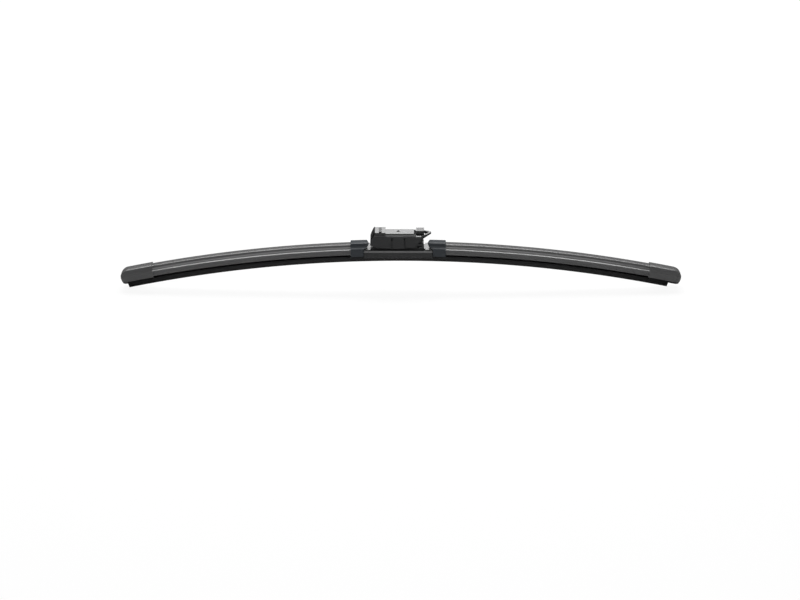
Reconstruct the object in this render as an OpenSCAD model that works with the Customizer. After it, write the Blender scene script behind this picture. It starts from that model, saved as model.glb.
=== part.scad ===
// Flat wiper blade with a moulded connector, two cover sleeves, two end caps and a clip-on arm adapter.
// Heights are measured up from the tip of the rubber lip at the pivot, and the finished part is then
// lowered so that its origin is on the flat top of the adapter, above the pivot pin.
// X runs along the blade towards the latch, Y across it towards the rear edge, Z up.

/* [Blade] */
// Radius of the curve that the lip follows when the blade is free
arc_r = 1262; // [900:2:3000]
// Distance from the pivot to the middle of that curve
arc_shift = 2.2; // [-10:0.1:10]
// Distance from the pivot to the left end of the blade
left_reach = 270.2; // [180:0.1:320]
// Distance from the pivot to the right end of the blade
right_reach = 275.2; // [180:0.1:320]
// Depth of the spoiler from its front skirt to its rear skirt
blade_w = 14.6; // [13.8:0.1:17]
// Height of the spoiler's crest above the lip's tip
crest_h = 19.5; // [19:0.1:21.2]
// Height of the lower edge of the spoiler's skirts
skirt_h = 10.3; // [9.8:0.1:10.6]

/* [Spoiler shape] */
// Distance from the middle plane forward to the crest
crest_fore = 3.2; // [2.8:0.1:3.6]
// Radius of the crown that falls away from the crest to the rear edge
crown_r = 80; // [50:1:120]
// Angle at which the crown starts to fall at the crest
crown_lean = 5; // [3:0.5:8]
// Radius that rounds the spoiler's crest
crest_round = 0.8; // [0.4:0.1:1.2]
// Radius that rounds the crest of the sleeves
sleeve_round = 0.5; // [0.3:0.1:0.8]
// Radius of the hollow along the front of the spoiler
hollow_r = 5.5; // [4.5:0.1:6.5]
// Distance from the middle plane forward to the middle of that hollow
hollow_fore = 8.6; // [8:0.1:10]
// Height of the middle of the front hollow above the crest
hollow_rise = 1.3; // [0.8:0.1:2]
// Radius of the shallow hollow along the rear of the spoiler
rear_hollow_r = 12; // [8:0.1:30]
// Depth of the rear hollow
rear_hollow_depth = 0.4; // [0.2:0.05:0.6]
// Radius of the bead along the lower edge of each skirt
bead_r = 0.5; // [0.3:0.05:0.7]

/* [Spring rails] */
// Width of each spring steel rail
rail_w = 4.2; // [3:0.1:4.4]
// Thickness of each rail
rail_t = 0.9; // [0.6:0.05:1.1]
// Height of the underside of the rails
rail_h = 11.4; // [11.3:0.05:11.6]
// Thickness of the rubber between the two rails
rubber_core = 3.1; // [2.6:0.1:3.6]
// Clearance round a rail in the rubber and in the mouldings
rail_play = 0.12; // [0.05:0.01:0.2]
// Distance from each end of the blade to the end of the rails
rail_inset = 4; // [3:0.1:6]

/* [Wiper rubber] */
// Distance from the left end of the blade to the end of the rubber
rubber_inset_left = 5.8; // [5:0.1:16]
// Distance from the right end of the blade to the end of the rubber
rubber_inset_right = 11.7; // [5:0.1:16]
// Width of the rubber's head above the rails
head_w = 6; // [5:0.1:6.4]
// Thickness of the head above the rails
head_t = 1.5; // [1:0.1:1.6]
// Width of the rubber's bar below the rails
bar_w = 6.6; // [5.6:0.1:7]
// Thickness of that bar
bar_t = 3.3; // [2.6:0.1:3.5]
// Width of the hinge web between the bar and the lip
web_w = 0.9; // [0.6:0.1:1.6]
// Width of the lip across its shoulders
shoulder_w = 5.8; // [4.6:0.1:6.4]
// Height of the top of the shoulders
shoulder_h = 6.6; // [6:0.1:7]
// Height of the straight edge of the shoulders
shoulder_edge = 1.4; // [0.8:0.1:2]
// Width of the wiping edge
lip_w = 0.8; // [0.5:0.1:1.6]
// Height of the straight part of the wiping edge
lip_edge = 0.9; // [0.4:0.1:1.4]

/* [Cover sleeves] */
// Length of each sleeve beyond the end of the connector base
sleeve_len = 12.8; // [9:0.1:26]
// Gap between the adapter's tail and the pointed tip of the sleeve beside it
tip_gap = 0.25; // [0.25:0.05:1.5]
// How far each sleeve's rear corner reaches over the base
rear_reach = 2.6; // [1:0.1:3]
// Thickness of the sleeve's wall
sleeve_wall = 1.4; // [1:0.1:1.8]
// Clearance between a sleeve or a cap and the spoiler inside it
cover_play = 0.2; // [0.1:0.01:0.3]

/* [End caps] */
// Length of each end cap along the blade
cap_len = 34; // [26:0.1:45]
// Thickness of the cap's wall
cap_wall = 0.9; // [0.7:0.1:1.3]
// Length of the spoiler that each cap covers
cap_lap = 8; // [4:0.1:14]
// Radius of the cap's end seen from the side
cap_end_r = 8.6; // [7:0.1:12]
// Radius of the cap's end corners seen from above
cap_plan_r = 6; // [3:0.1:8]
// Distance from the middle plane forward to the crease along each cap
cap_crease = 6.3; // [5.6:0.1:6.8]
// Radius of the slight hollow below that crease
cap_hollow_r = 12; // [9:0.5:30]

/* [Connector base] */
// Half length of the connector base
base_half = 33.4; // [33:0.1:36]
// Depth of the base from front to rear
base_w = 19.8; // [19:0.1:23]
// Height of the underside of the base
base_low = 6.9; // [6.7:0.1:8.4]
// Height of the flat top of the base
base_top = 15.7; // [15.5:0.1:16.4]
// Depth of the flat top from front to rear
flat_w = 17.2; // [16.8:0.1:18.4]
// Drop from the flat top to the sloping ledge's upper edge
ledge_fall = 1.4; // [1.4:0.1:2]
// Height of the sloping ledge
ledge_drop = 1.3; // [0.8:0.1:2]
// Drop from the flat top to the trough beside the tower
trough_drop = 1.3; // [1:0.1:1.4]
// Distance from each end of the base to the tower
tower_inset = 8.1; // [7.8:0.1:10]
// Clearance between each side of the tower and the adapter
tower_play = 0.4; // [0.3:0.05:0.7]
// Thickness of the tower's side walls
tower_wall = 1.9; // [1.4:0.1:2]
// Height of the top of the tower above the pin's axis
tower_rise = 0.9; // [0.5:0.1:1.2]
// Height of the leaning part of the tower's ends
tower_lean_len = 4.9; // [4.4:0.1:6]
// Distance that the ends of the tower lean inwards at the top
tower_lean = 1.9; // [1.6:0.1:2.4]
// Width of the triangular opening near each end of the tower
gusset_w = 4.5; // [3:0.1:5]
// Height of that opening
gusset_h = 3; // [2:0.1:3.1]
// Width of the small window near each end of the tower's front wall
window_w = 4.4; // [3:0.1:5]
// Height of that window
window_h = 2; // [1:0.1:2.4]

/* [Steel saddle and pivot] */
// Height of the pivot pin's axis above the flat top of the base
pivot_rise = 7.7; // [7.6:0.1:7.9]
// Radius of the pivot pin
pin_r = 1.6; // [1.2:0.05:1.7]
// Running clearance of the pin in the adapter
pin_play = 0.05; // [0.03:0.01:0.08]
// Clearance beyond each end of the pin
pin_end_play = 0.1; // [0.05:0.01:0.2]
// Thickness of the saddle's sheet
sheet_t = 0.8; // [0.6:0.05:0.9]
// Half length of the saddle
saddle_half = 11; // [9:0.1:16]
// Half width of each upright cheek of the saddle
cheek_half = 4.5; // [3.4:0.1:5]

/* [Adapter] */
// Height of the flat seat above the pin's axis
seat_rise = 8.2; // [8.1:0.05:8.4]
// Width of the flat seat
seat_w = 11.6; // [11:0.1:12]
// Height of the seat above the adapter's shoulders
seat_step = 1.9; // [1.5:0.1:2.1]
// Distance from the pivot to the left end of the seat
seat_left = 12.5; // [11:0.1:14]
// Distance from the pivot to the right end of the seat
seat_right = 15.4; // [14:0.1:16]
// Width of the adapter across its side walls
adapter_w = 15.2; // [15:0.1:15.6]
// Thickness of the adapter's side walls
adapter_wall = 1.6; // [1.4:0.1:1.7]
// Height of the raised head above the seat
head_rise = 1.6; // [1:0.1:2.5]
// Width of the raised head
head_plate_w = 14.2; // [13:0.1:14.8]
// Length of the raised head
head_len = 10.4; // [9:0.1:12]
// Width of the groove across the raised head
head_groove_w = 2.8; // [1.5:0.1:4]
// Half width of the springy pad over each end of the pin
pad_half = 5.7; // [4.6:0.1:6]
// Width of the slits beside each pad
slit_w = 1.1; // [0.8:0.1:1.4]
// How far each pad stands out of its side wall
pad_proud = 0.4; // [0.2:0.1:0.6]
// Thickness left in each pad beyond the end of the pin's bore
pad_skin = 1.1; // [0.8:0.1:1.3]
// Room between the tower and the inside of the adapter's tail
tail_room = 1.35; // [1.3:0.05:1.5]
// Thickness of the tail's end wall
tail_wall = 1.3; // [1:0.1:1.5]
// Radius of the tail's end seen from the side
tail_r = 36.9; // [30:0.1:60]
// Length of the nose beyond the side walls
nose_len = 7.5; // [6:0.1:9]
// Width of each strand of the nose
nose_strand = 1.9; // [1.4:0.1:2.4]
// Thickness of the floor between the strands
nose_floor = 0.8; // [0.6:0.1:1.2]

/* [Latch button] */
// Width of the slot between the seat and the button
button_slot = 2.1; // [1.6:0.1:2.6]
// Length of the button along the blade
button_len = 8; // [6:0.1:8.2]
// Width of the button
button_w = 8.3; // [7.6:0.1:8.8]
// Height of the button above the seat
button_rise = 2.5; // [1.5:0.1:3]
// Number of grip ribs on top of the button
button_ribs = 6; // [3:1:7]
// Depth of the grooves between the ribs
rib_depth = 0.35; // [0.2:0.05:0.6]
// Thickness of the springy tongue behind the button
tongue_t = 1.5; // [1:0.1:1.6]
// Width of the tongue
tongue_w = 6; // [5:0.1:6.4]
// Distance from the pivot back to the root of the tongue
tongue_root = 5.7; // [5:0.1:8]

/* [Hidden] */

$fn = 64;
arc_fn = 720;
eps = 0.01;
big = 60;

// Rails and the rubber round them
rail_in = rubber_core / 2 + rail_play;
rail_out = rail_in + rail_w;
rail_top = rail_h + rail_t;
slot_low = rail_h - rail_play;
slot_top = rail_top + rail_play;
slot_half = rail_out + rail_play;
head_top = slot_top + head_t;
bar_low = slot_low - bar_t;
head_room = 0.2;
rubber_left = left_reach - rubber_inset_left;
rubber_right = right_reach - rubber_inset_right;
rail_left = left_reach - rail_inset;
rail_right = right_reach - rail_inset;
end_play = 0.3;
rear_hollow_h = (crest_h + skirt_h) / 2 - 0.6;
hollow_middle = [-hollow_fore, crest_h + hollow_rise];
crown_middle = [-crest_fore, crest_h] - crown_r * [sin(crown_lean), cos(crown_lean)];

// Lengths of the tower and of the adapter's tail round it
tower_half = base_half - tower_inset;
tail_end = tower_half + tail_room + tail_wall;

// Heights that build on each other, from the base up to the seat
ledge_h = base_top - ledge_fall;
pivot_h = base_top + pivot_rise;
tower_top = pivot_h + tower_rise;
tower_lean_h = tower_top - tower_lean_len;
seat_h = pivot_h + seat_rise;

// Covers
sleeve_end = base_half + sleeve_len;
sleeve_tip = tail_end + tip_gap;
sleeve_rear = base_half - rear_reach;
sleeve_grow = cover_play + sleeve_wall;
cap_grow = cover_play + cap_wall;
cover_mouth = bar_w / 2 + 1.6;
spoiler_in = base_half + 0.3;
bottom_mouth = bar_w / 2 + head_room;

// Crease of each cap, the top of its upright front, and the circle that hollows it in between
cap_front = blade_w / 2 + cap_grow;
spoiler_edge_h = hollow_middle[1] - sqrt(pow(hollow_r, 2) - pow(hollow_fore - blade_w / 2, 2));
cap_front_low = [-cap_front, spoiler_edge_h + 0.7];
cap_front_top = [-cap_crease, crown_height(-cap_crease, cap_grow)];
cap_hollow_middle = circles_meet(cap_front_low, cap_hollow_r, cap_front_top, cap_hollow_r);

// Connector
inner_half = adapter_w / 2 - adapter_wall;
tower_w = 2 * (inner_half - tower_play);
trough_half = tower_half + 1.4;
trough_h = base_top - trough_drop;
base_foot = 0.6;
gusset_x = tower_half - 4.4;
gusset_low = tower_top - 0.6 - gusset_h;
window_low = base_top + 0.5;
end_web_t = 1.5;
end_web_top = base_top + 4.7;
fit_play = 0.03;

// Saddle
saddle_in = slot_half;
saddle_out = saddle_in + sheet_t;
saddle_flange = slot_top + 0.12;
saddle_roof = head_top + 0.25;
hat_in = head_w / 2 + 0.3;
hat_out = hat_in + sheet_t;
saddle_claw = 4.4;
claw_low = slot_low - sheet_t;
saddle_play = 0.12;
cheek_in = 2.4;
cheek_top = pivot_h + 2.6;

// Adapter
shoulder_top = seat_h - seat_step;
shoulder_fall = 0.7;
roof_low = shoulder_top - 1.3;
roof_mid = seat_h - 1.8;
tail_x = tail_r - tail_end;
tail_h = base_top - 1.3;
wall_low_tail = base_top + 4;
wall_low_left = base_top + 1.5;
wall_low_mid = base_top + 0.7;
wall_low_right = base_top + 1.9;
button_near = seat_right + button_slot;
button_far = button_near + button_len;
wall_end = button_far - 0.7;
wall_end_low = shoulder_top - 1.9;
slit_top = shoulder_top - 1.7;
pad_low = base_top + 0.6;
pad_top = shoulder_top - 0.4;
bore_end = adapter_w / 2 + pad_proud - pad_skin;
pin_len = 2 * (bore_end - pin_end_play);
entry_w = 1.6 * pin_r;
head_right = -seat_left;
head_left = head_right - head_len;
groove_depth = 0.5;
nose_root = wall_end - 2.4;
nose_reach = wall_end + nose_len;
nose_open = button_far + 0.7;

// Latch
tongue_gap = 0.5;
tongue_top = roof_mid - tongue_gap;
tongue_low = tongue_top - tongue_t;
button_top = seat_h + button_rise;
button_skirt = tongue_top + 0.9;
root_gap = 0.3;
root_block = 3.5;

// Colours
black_plastic = "#2e3032";
blue_black_plastic = "#33373c";
grey_black_spoiler = "#3a3b3d";
black_rubber = "#1c1c1d";
spring_steel = "#8d9196";

function arc_angle(x) = asin((x - arc_shift) / arc_r);

// Height of the crown at a depth, on an outline that is larger by the given amount
function crown_height(y, grow) =
    crown_middle[1] + sqrt(pow(crown_r + grow, 2) - pow(y - crown_middle[0], 2));

// Where two circles cross, on the left hand of the way from the first middle to the second
function circles_meet(a, ra, b, rb) =
    let (way = b - a, gap = norm(way), along = (gap * gap + ra * ra - rb * rb) / (2 * gap))
    a + (along * way + sqrt(ra * ra - along * along) * [-way[1], way[0]]) / gap;

function direction(from, to) = atan2(to[1] - from[1], to[0] - from[0]);
function arc_points(middle, r, a, b, n = 12) =
    [for (i = [0:n]) middle + r * [cos(a + (b - a) * i / n), sin(a + (b - a) * i / n)]];

// Lowers everything from heights above the lip's tip to heights above the seat
module in_frame() {
    translate([0, 0, -seat_h]) children();
}

// Carries a cross-section, drawn as depth and height, along the blade's curve between two places on the chord
module along_arc(x_a, x_b) {
    a = arc_angle(min(x_a, x_b));
    b = arc_angle(max(x_a, x_b));
    translate([arc_shift, 0, -arc_r])
        rotate([90, 0, 0])
            rotate([0, 0, 90 - b])
                rotate_extrude(angle = b - a, $fn = arc_fn)
                    translate([arc_r, 0])
                        rotate(-90)
                            children();
}

// Turns and moves children drawn at the middle of the curve to a place on the chord
module at_station(x) {
    translate([arc_shift, 0, -arc_r])
        rotate([0, arc_angle(x), 0])
            translate([0, 0, arc_r])
                children();
}

// Carries a cross-section, drawn as depth and height, straight along the blade
module along_x(x_a, x_b) {
    translate([min(x_a, x_b), 0, 0])
        rotate([90, 0, 90])
            linear_extrude(abs(x_b - x_a))
                children();
}

// Carries a side view, drawn as length and height, across the blade between two depths
module across(y_a, y_b) {
    translate([0, max(y_a, y_b), 0])
        rotate([90, 0, 0])
            linear_extrude(abs(y_b - y_a))
                children();
}

// Box between two corners
module block(low, high) {
    translate(low) cube(high - low);
}

// Both halves of something that is the same at the front and at the rear
module both_depths() {
    children();
    mirror([0, 1, 0]) children();
}

// Flat rectangle between two depths and two heights
module bar(y_a, y_b, z_a, z_b) {
    translate([y_a, z_a]) square([y_b - y_a, z_b - z_a]);
}

// Outer shape of the section before the front is hollowed, larger all round by the given amount
module full_outline(grow) {
    rear = blade_w / 2 + grow;
    difference() {
        intersection() {
            translate(crown_middle) circle(r = crown_r + grow, $fn = 360);
            bar(-rear, rear, skirt_h - grow, crest_h + grow + 1);
        }
        translate([rear + rear_hollow_r - rear_hollow_depth, rear_hollow_h])
            circle(r = rear_hollow_r, $fn = 128);
    }
}

// Outer shape of the spoiler's section, or of a sleeve that is larger all round by the given amount
module blade_outline(grow) {
    difference() {
        full_outline(grow);
        translate(hollow_middle) circle(r = hollow_r - grow, $fn = 96);
    }
}

// What is cut from the corner between the crown and the front hollow to round it
module crest_cut(grow, r) {
    middle = circles_meet(hollow_middle, hollow_r - grow + r, crown_middle, crown_r + grow - r);
    on_crown = direction(crown_middle, middle);
    on_hollow = on_crown + (direction(middle, hollow_middle) - on_crown + 360) % 360;
    mid = (on_crown + on_hollow) / 2;
    arc = arc_points(middle, r, on_crown, on_hollow, 6);
    polygon(concat(
        [middle + (r + 0.03) * [cos(on_crown), sin(on_crown)]],
        [for (i = [1:5]) arc[i]],
        [middle + (r + 0.03) * [cos(on_hollow), sin(on_hollow)], middle + 3 * r * [cos(mid), sin(mid)]]
    ));
}

// Outer shape of the end caps' section, whose front is flatter than the spoiler's
module cap_outline() {
    difference() {
        full_outline(cap_grow);
        translate(cap_hollow_middle) circle(r = cap_hollow_r, $fn = 128);
    }
}

// Outer shape of the beads along the lower edges of the skirts
module beads(grow) {
    for (side = [-1, 1])
        translate([side * blade_w / 2, skirt_h + bead_r]) circle(r = bead_r + grow, $fn = 48);
}

// Space for the two rails
module rail_space() {
    bar(-slot_half, slot_half, slot_low, slot_top);
}

// Space for the rubber that the rails hold, open below
module rubber_space() {
    bar(-head_w / 2 - head_room, head_w / 2 + head_room, slot_low, head_top + head_room);
    bar(-bottom_mouth, bottom_mouth, -1, slot_low + eps);
}

// Space inside a cover for the spoiler
module spoiler_space() {
    blade_outline(cover_play);
    beads(cover_play);
}

module spoiler_section() {
    difference() {
        union() {
            blade_outline(0);
            beads(0);
        }
        crest_cut(0, crest_round);
        rail_space();
        rubber_space();
    }
}

module cover_section(grow) {
    difference() {
        blade_outline(grow);
        crest_cut(grow, sleeve_round);
        bar(-cover_mouth, cover_mouth, 0, slot_low);
    }
}

module rubber_section() {
    bar(-head_w / 2, head_w / 2, slot_top, head_top);
    bar(-rubber_core / 2, rubber_core / 2, slot_low - eps, slot_top + eps);
    bar(-bar_w / 2, bar_w / 2, bar_low, slot_low);
    bar(-web_w / 2, web_w / 2, shoulder_h - eps, bar_low + eps);
    polygon([
        [-shoulder_w / 2, shoulder_h], [-shoulder_w / 2, shoulder_h - shoulder_edge],
        [-lip_w / 2, lip_edge], [-lip_w / 2, 0], [lip_w / 2, 0], [lip_w / 2, lip_edge],
        [shoulder_w / 2, shoulder_h - shoulder_edge], [shoulder_w / 2, shoulder_h]
    ]);
}

module wiper_rubber() {
    color(black_rubber) in_frame()
        along_arc(-rubber_left, rubber_right) rubber_section();
}

// One spring rail, side = -1 for the front and 1 for the rear
module spring_rail(side) {
    color(spring_steel) in_frame()
        along_arc(-rail_left, rail_right)
            translate([side * (rail_in + rail_out) / 2, (rail_h + rail_top) / 2])
                square([rail_w, rail_t], center = true);
}

module spring_rail_front() {
    spring_rail(-1);
}

module spring_rail_rear() {
    spring_rail(1);
}

// One spoiler half from the connector to the lap under its end cap
module spoiler(side, reach) {
    color(grey_black_spoiler) in_frame()
        along_arc(side * spoiler_in, side * (reach - cap_len + cap_lap))
            spoiler_section();
}

module spoiler_left() {
    spoiler(-1, left_reach);
}

module spoiler_right() {
    spoiler(1, right_reach);
}

// Plan of a sleeve: a blunt arrow whose tip is at the crest and points at the pivot
module sleeve_plan(side) {
    half = blade_w / 2 + sleeve_grow + 1;
    tip = hollow_fore - hollow_r + sleeve_grow - 0.4;
    polygon([
        [side * (sleeve_end + 1), -half], [side * base_half, -half],
        [side * (base_half - 0.5), -tip - 2.4], [side * sleeve_tip, -tip],
        [side * sleeve_rear, half], [side * (sleeve_end + 1), half]
    ]);
}

module cover_sleeve(side) {
    color(blue_black_plastic) in_frame()
        difference() {
            intersection() {
                along_arc(side * (sleeve_tip - 1), side * sleeve_end) cover_section(sleeve_grow);
                translate([0, 0, -1]) linear_extrude(big) sleeve_plan(side);
            }
            along_arc(side * (base_half - 0.6), side * (sleeve_end + 1)) spoiler_space();
            along_x(side * (sleeve_tip - 2), side * (base_half + cover_play))
                bar(-big, big, -1, base_top + cover_play);
        }
}

module cover_sleeve_left() {
    cover_sleeve(-1);
}

module cover_sleeve_right() {
    cover_sleeve(1);
}

// Side view of the end of a cap, with its tip at zero and the blade running to positive x
module cap_end_side() {
    mid_h = cap_front_top[1] + 0.1 - cap_end_r;
    far = cap_len + 4;
    polygon(concat(
        [[far, 0], [1.4, 0]],
        arc_points([cap_end_r, mid_h], cap_end_r, 180, 90),
        [[cap_end_r, big], [far, big]]
    ));
}

// Plan of the end of a cap, in the same place
module cap_end_plan() {
    half = cap_front + 0.1;
    far = cap_len + 4;
    polygon(concat(
        [[far, -half]],
        arc_points([cap_plan_r, cap_plan_r - half], cap_plan_r, 270, 180),
        arc_points([cap_plan_r, half - cap_plan_r], cap_plan_r, 180, 90),
        [[far, half]]
    ));
}

// One end cap: a shell over the end of the spoiler with its closed outer end rounded two ways
module end_cap(side, reach, rubber_reach) {
    seam = reach - cap_len;
    color(black_plastic) in_frame()
        difference() {
            intersection() {
                along_arc(side * seam, side * (reach + 4)) cap_outline();
                at_station(side * reach) mirror([side > 0 ? 1 : 0, 0, 0]) across(-big, big) cap_end_side();
                at_station(side * reach) mirror([side > 0 ? 1 : 0, 0, 0])
                    linear_extrude(big) cap_end_plan();
            }
            along_arc(side * (seam - 1), side * (seam + cap_lap + end_play)) {
                spoiler_space();
                bar(-cover_mouth, cover_mouth, 0, skirt_h);
            }
            along_arc(side * (seam + 1), side * (reach - rail_inset + end_play)) rail_space();
            along_arc(side * (seam + 1.5), side * (rubber_reach + end_play)) rubber_space();
        }
}

module end_cap_left() {
    end_cap(-1, left_reach, rubber_left);
}

module end_cap_right() {
    end_cap(1, right_reach, rubber_right);
}

module base_section() {
    half = base_w / 2;
    flat = flat_w / 2;
    polygon([
        [-half + base_foot, base_low], [-half, base_low + base_foot],
        [-half, ledge_h - ledge_drop], [-flat, ledge_h], [-flat, base_top],
        [flat, base_top], [flat, ledge_h], [half, ledge_h - ledge_drop],
        [half, base_low + base_foot], [half - base_foot, base_low]
    ]);
}

// Side view of the tower that stands on the base
module tower_side() {
    top_half = tower_half - tower_lean;
    polygon([
        [-tower_half, ledge_h], [-tower_half, tower_lean_h], [-top_half, tower_top],
        [top_half, tower_top], [tower_half, tower_lean_h], [tower_half, ledge_h]
    ]);
}

// Triangular opening above each end of the tower
module gussets() {
    for (side = [-1, 1])
        translate([side * gusset_x, 0])
            polygon([
                [-gusset_w / 2, gusset_low], [gusset_w / 2, gusset_low], [0, gusset_low + gusset_h]
            ]);
}

// Small windows below those openings, in the front wall
module windows() {
    for (side = [-1, 1])
        translate([side * gusset_x - window_w / 2, window_low]) square([window_w, window_h]);
}

module connector_base() {
    inner = tower_w / 2 - tower_wall;
    color(black_plastic) in_frame()
        difference() {
            union() {
                difference() {
                    along_x(-base_half, base_half) base_section();
                    both_depths()
                        block([-trough_half, tower_w / 2, trough_h], [trough_half, flat_w / 2 + 1, big]);
                }
                difference() {
                    across(-tower_w / 2, tower_w / 2) tower_side();
                    block([-tower_half - 1, -inner, base_top], [tower_half + 1, inner, big]);
                    across(-tower_w, tower_w) gussets();
                    across(-tower_w, 0) windows();
                }
                for (side = [-1, 1])
                    translate([side * (tower_half - end_web_t / 2), 0, (end_web_top + ledge_h) / 2])
                        cube([end_web_t, tower_w - 1, end_web_top - ledge_h], center = true);
            }
            along_arc(-base_half - 1, base_half + 1) {
                rail_space();
                rubber_space();
            }
            along_x(-saddle_half - saddle_play, saddle_half + saddle_play) saddle_pocket();
            both_depths()
                block([-cheek_half - saddle_play, cheek_in - saddle_play, saddle_roof],
                    [cheek_half + saddle_play, cheek_in + sheet_t + saddle_play, big]);
            translate([0, 0, pivot_h]) rotate([90, 0, 0])
                cylinder(r = pin_r + fit_play, h = tower_w + 2, center = true);
        }
}

// Half of the saddle's folded section: a hat over the rubber's head, a flange, a side and a claw
module saddle_half_section() {
    bar(-eps, hat_out, saddle_roof, saddle_roof + sheet_t);
    bar(hat_in, hat_out, saddle_flange, saddle_roof + sheet_t);
    bar(hat_in, saddle_out, saddle_flange, saddle_flange + sheet_t);
    bar(saddle_in, saddle_out, claw_low, saddle_flange + sheet_t);
    bar(saddle_claw, saddle_out, claw_low, slot_low);
}

module saddle_section() {
    saddle_half_section();
    mirror([1, 0]) saddle_half_section();
}

// Space in the connector base for the whole of that section
module saddle_pocket() {
    bar(-hat_out - saddle_play, hat_out + saddle_play, claw_low, saddle_roof + sheet_t + saddle_play);
    bar(-saddle_out - saddle_play, saddle_out + saddle_play,
        claw_low - saddle_play, saddle_flange + sheet_t + saddle_play);
}

// Pressed sheet that is folded round both rails, with two cheeks that carry the pin
module rail_saddle() {
    color(spring_steel) in_frame()
        difference() {
            union() {
                along_x(-saddle_half, saddle_half) saddle_section();
                both_depths()
                    across(cheek_in, cheek_in + sheet_t) {
                        translate([-cheek_half, saddle_roof])
                            square([2 * cheek_half, pivot_h - saddle_roof]);
                        intersection() {
                            translate([0, pivot_h]) circle(r = cheek_half);
                            translate([-cheek_half, pivot_h - 1])
                                square([2 * cheek_half, cheek_top - pivot_h + 1]);
                        }
                    }
            }
            translate([0, 0, pivot_h]) rotate([90, 0, 0])
                cylinder(r = pin_r + fit_play, h = tower_w, center = true);
        }
}

module pivot_pin() {
    color(spring_steel) in_frame()
        translate([0, 0, pivot_h]) rotate([90, 0, 0])
            cylinder(r = pin_r, h = pin_len, center = true);
}

// Side view of the adapter's side walls
module adapter_side() {
    intersection() {
        translate([tail_x, tail_h]) circle(r = tail_r, $fn = 128);
        polygon([
            [-big, shoulder_top], [-big, wall_low_tail], [-tail_end + 0.6, wall_low_tail],
            [-tail_end + 6.6, wall_low_left],
            [-pad_half, wall_low_mid], [0, wall_low_mid], [pad_half, wall_low_right],
            [seat_right + 0.6, wall_low_right], [seat_right + 1.9, wall_low_right + 1.5],
            [wall_end, wall_end_low], [wall_end, shoulder_top]
        ]);
    }
}

// Cross-section of the adapter's body: side walls, sloping shoulders and the flat seat
module adapter_section(seat_top) {
    half = adapter_w / 2;
    polygon([
        [-half, 0], [-half, shoulder_top - shoulder_fall], [-seat_w / 2, shoulder_top],
        [-seat_w / 2, seat_top], [seat_w / 2, seat_top],
        [seat_w / 2, shoulder_top], [half, shoulder_top - shoulder_fall], [half, 0]
    ]);
}

// Hollow of the adapter, open below and at the latch
module adapter_hollow() {
    intersection() {
        union() {
            along_x(-big, big) {
                bar(-inner_half, inner_half, 0, roof_low);
                bar(-button_w / 2 - 0.6, button_w / 2 + 0.6, 0, roof_mid);
            }
            block([seat_right, -button_w / 2 - 0.6, 0], [big, button_w / 2 + 0.6, big]);
        }
        across(-inner_half, inner_half)
            translate([tail_x, tail_h]) circle(r = tail_r - tail_wall, $fn = 128);
    }
}

// Nose seen from above: two strands that meet in a point
module nose_plan(inset) {
    half = adapter_w / 2 - inset;
    polygon([
        [nose_root - 1, -half], [wall_end, -half], [nose_reach - 1.3 * inset, -0.9],
        [nose_reach - 1.3 * inset, 0.9], [wall_end, half], [nose_root - 1, half]
    ]);
}

// Nose seen from the side, rising a little towards its tip
module nose_side() {
    polygon([
        [nose_root, shoulder_top - 2.9], [wall_end, shoulder_top - 2.4], [nose_reach, seat_h - 2.1],
        [nose_reach, seat_h - 0.2], [wall_end, shoulder_top + 0.5], [nose_root, shoulder_top - 0.2]
    ]);
}

// Two strands with a thin floor between them, as far back as the latch button leaves room
module nose() {
    difference() {
        intersection() {
            translate([0, 0, -1]) linear_extrude(big) nose_plan(0);
            across(-adapter_w, adapter_w) nose_side();
        }
        linear_extrude(big) nose_plan(nose_strand);
    }
    intersection() {
        linear_extrude(big) nose_plan(nose_strand / 2);
        across(-adapter_w, adapter_w)
            difference() {
                nose_side();
                translate([0, nose_floor]) nose_side();
            }
        block([nose_open, -adapter_w, 0], [big, adapter_w, big]);
    }
}

// Pad over one end of the pin, with the slits that let it spring outwards
module pad_plate() {
    block([-pad_half, inner_half, pad_low], [pad_half, adapter_w / 2 + pad_proud, pad_top]);
}

module pad_cuts() {
    for (side = [-1, 1])
        translate([side * (pad_half + slit_w / 2), inner_half + adapter_wall / 2, slit_top / 2])
            cube([slit_w, 2 * adapter_wall + 1, slit_top], center = true);
    translate([0, inner_half - 1, pivot_h]) rotate([-90, 0, 0])
        cylinder(r = pin_r + pin_play, h = bore_end - inner_half + 1);
    block([-entry_w / 2, inner_half - 1, 0], [entry_w / 2, bore_end, pivot_h]);
}

module adapter() {
    color(black_plastic) in_frame()
        difference() {
            union() {
                difference() {
                    intersection() {
                        union() {
                            along_x(-big, wall_end) adapter_section(shoulder_top);
                            along_x(-seat_left - 1, seat_right) adapter_section(seat_h);
                        }
                        across(-adapter_w, adapter_w) {
                            adapter_side();
                            translate([-seat_left - 1, shoulder_top - 1])
                                square([seat_left + 1 + seat_right, seat_step + 1]);
                        }
                    }
                    adapter_hollow();
                }
                raised_head();
                nose();
                block([-tongue_root - root_gap - root_block, -inner_half - eps, tongue_low],
                    [-tongue_root - root_gap, inner_half + eps, roof_mid + eps]);
                both_depths() pad_plate();
            }
            both_depths() pad_cuts();
        }
}

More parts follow.
